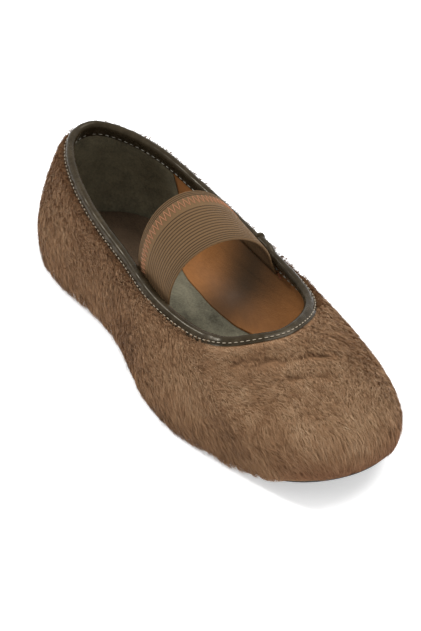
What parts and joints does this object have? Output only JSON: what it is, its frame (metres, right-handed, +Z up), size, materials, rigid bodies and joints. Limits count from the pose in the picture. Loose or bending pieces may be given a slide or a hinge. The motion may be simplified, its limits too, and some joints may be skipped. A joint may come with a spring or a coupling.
{
  "type": "plush ballet flat",
  "caption": "Round-toed ballet flat in short brown plush with a bound collar, a wide elastic instep strap and a thin sole with a low heel, right shoe.",
  "frame": {"origin": "centre of the shoe's bounding box, at the floor it stands on", "axes": "+X towards the toe, +Y towards the inner (big toe) side, +Z up"},
  "size_m": [0.264, 0.098, 0.0815],
  "materials": {
    "plush": "short brown plush pile lying towards the toe",
    "sole_rubber": "matt black rubber",
    "insole_suede": "grey-green suede",
    "pad_felt": "dark brown soft pad",
    "binding_leather": "glossy dark brown leather",
    "elastic_webbing": "ribbed brown elastic webbing"
  },
  "bodies": {
    "root": {"upper": "plush", "outsole": "sole_rubber", "heel": "sole_rubber", "insole": "insole_suede", "heel_pad": "pad_felt", "collar_binding": "binding_leather", "strap": "elastic_webbing"}
  },
  "joints": []
}
